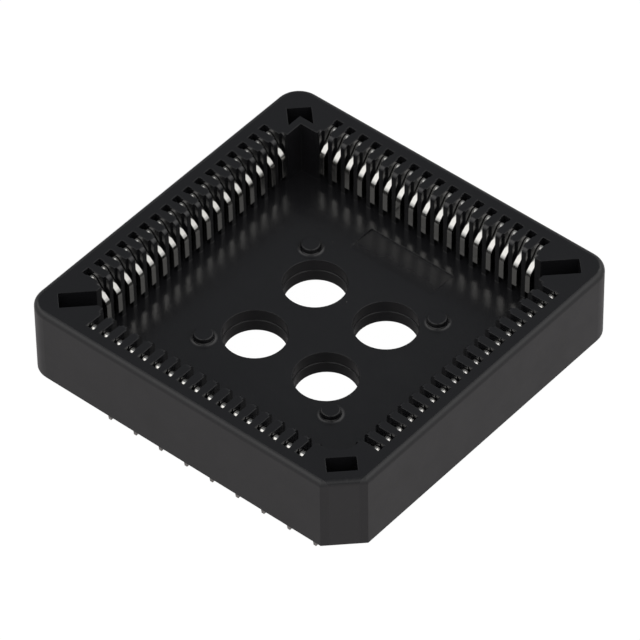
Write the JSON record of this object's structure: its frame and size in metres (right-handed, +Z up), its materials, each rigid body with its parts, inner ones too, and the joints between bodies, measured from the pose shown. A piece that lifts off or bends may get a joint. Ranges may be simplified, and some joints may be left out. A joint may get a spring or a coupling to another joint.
{
  "type": "chip carrier socket",
  "caption": "Square black socket that holds a leaded chip carrier between spring contacts on four sides and solders into a board through its tails.",
  "frame": {"origin": "middle of the stand-off pad's underside, on the board plane", "axes": "+Z up out of the board; the index chamfer is at the corner between +X and -Y; pin 1 is at the middle of the -Y side"},
  "size_m": [0.0316, 0.0316, 0.0112],
  "materials": {
    "housing": "glossy black moulded thermoplastic",
    "contact": "bright tin plate"
  },
  "bodies": {
    "root": {"housing": "housing", "contacts_01_02": "contact", "contacts_03_04": "contact", "contacts_05_06": "contact", "contacts_07_08": "contact", "contacts_09_10": "contact", "contacts_11_12": "contact", "contacts_13_14": "contact", "contacts_15_16": "contact", "contacts_17_18": "contact", "contacts_19_20": "contact", "contacts_21_22": "contact", "contacts_23_24": "contact", "contacts_25_26": "contact", "contacts_27_28": "contact", "contacts_29_30": "contact", "contacts_31_32": "contact", "contacts_33_34": "contact", "contacts_35_36": "contact", "contacts_37_38": "contact", "contacts_39_40": "contact", "contacts_41_42": "contact", "contacts_43_44": "contact", "contacts_45_46": "contact", "contacts_47_48": "contact", "contacts_49_50": "contact", "contacts_51_52": "contact", "contacts_53_54": "contact", "contacts_55_56": "contact", "contacts_57_58": "contact", "contacts_59_60": "contact", "contacts_61_62": "contact", "contacts_63_64": "contact", "contacts_65_66": "contact", "contacts_67_68": "contact"}
  },
  "joints": []
}
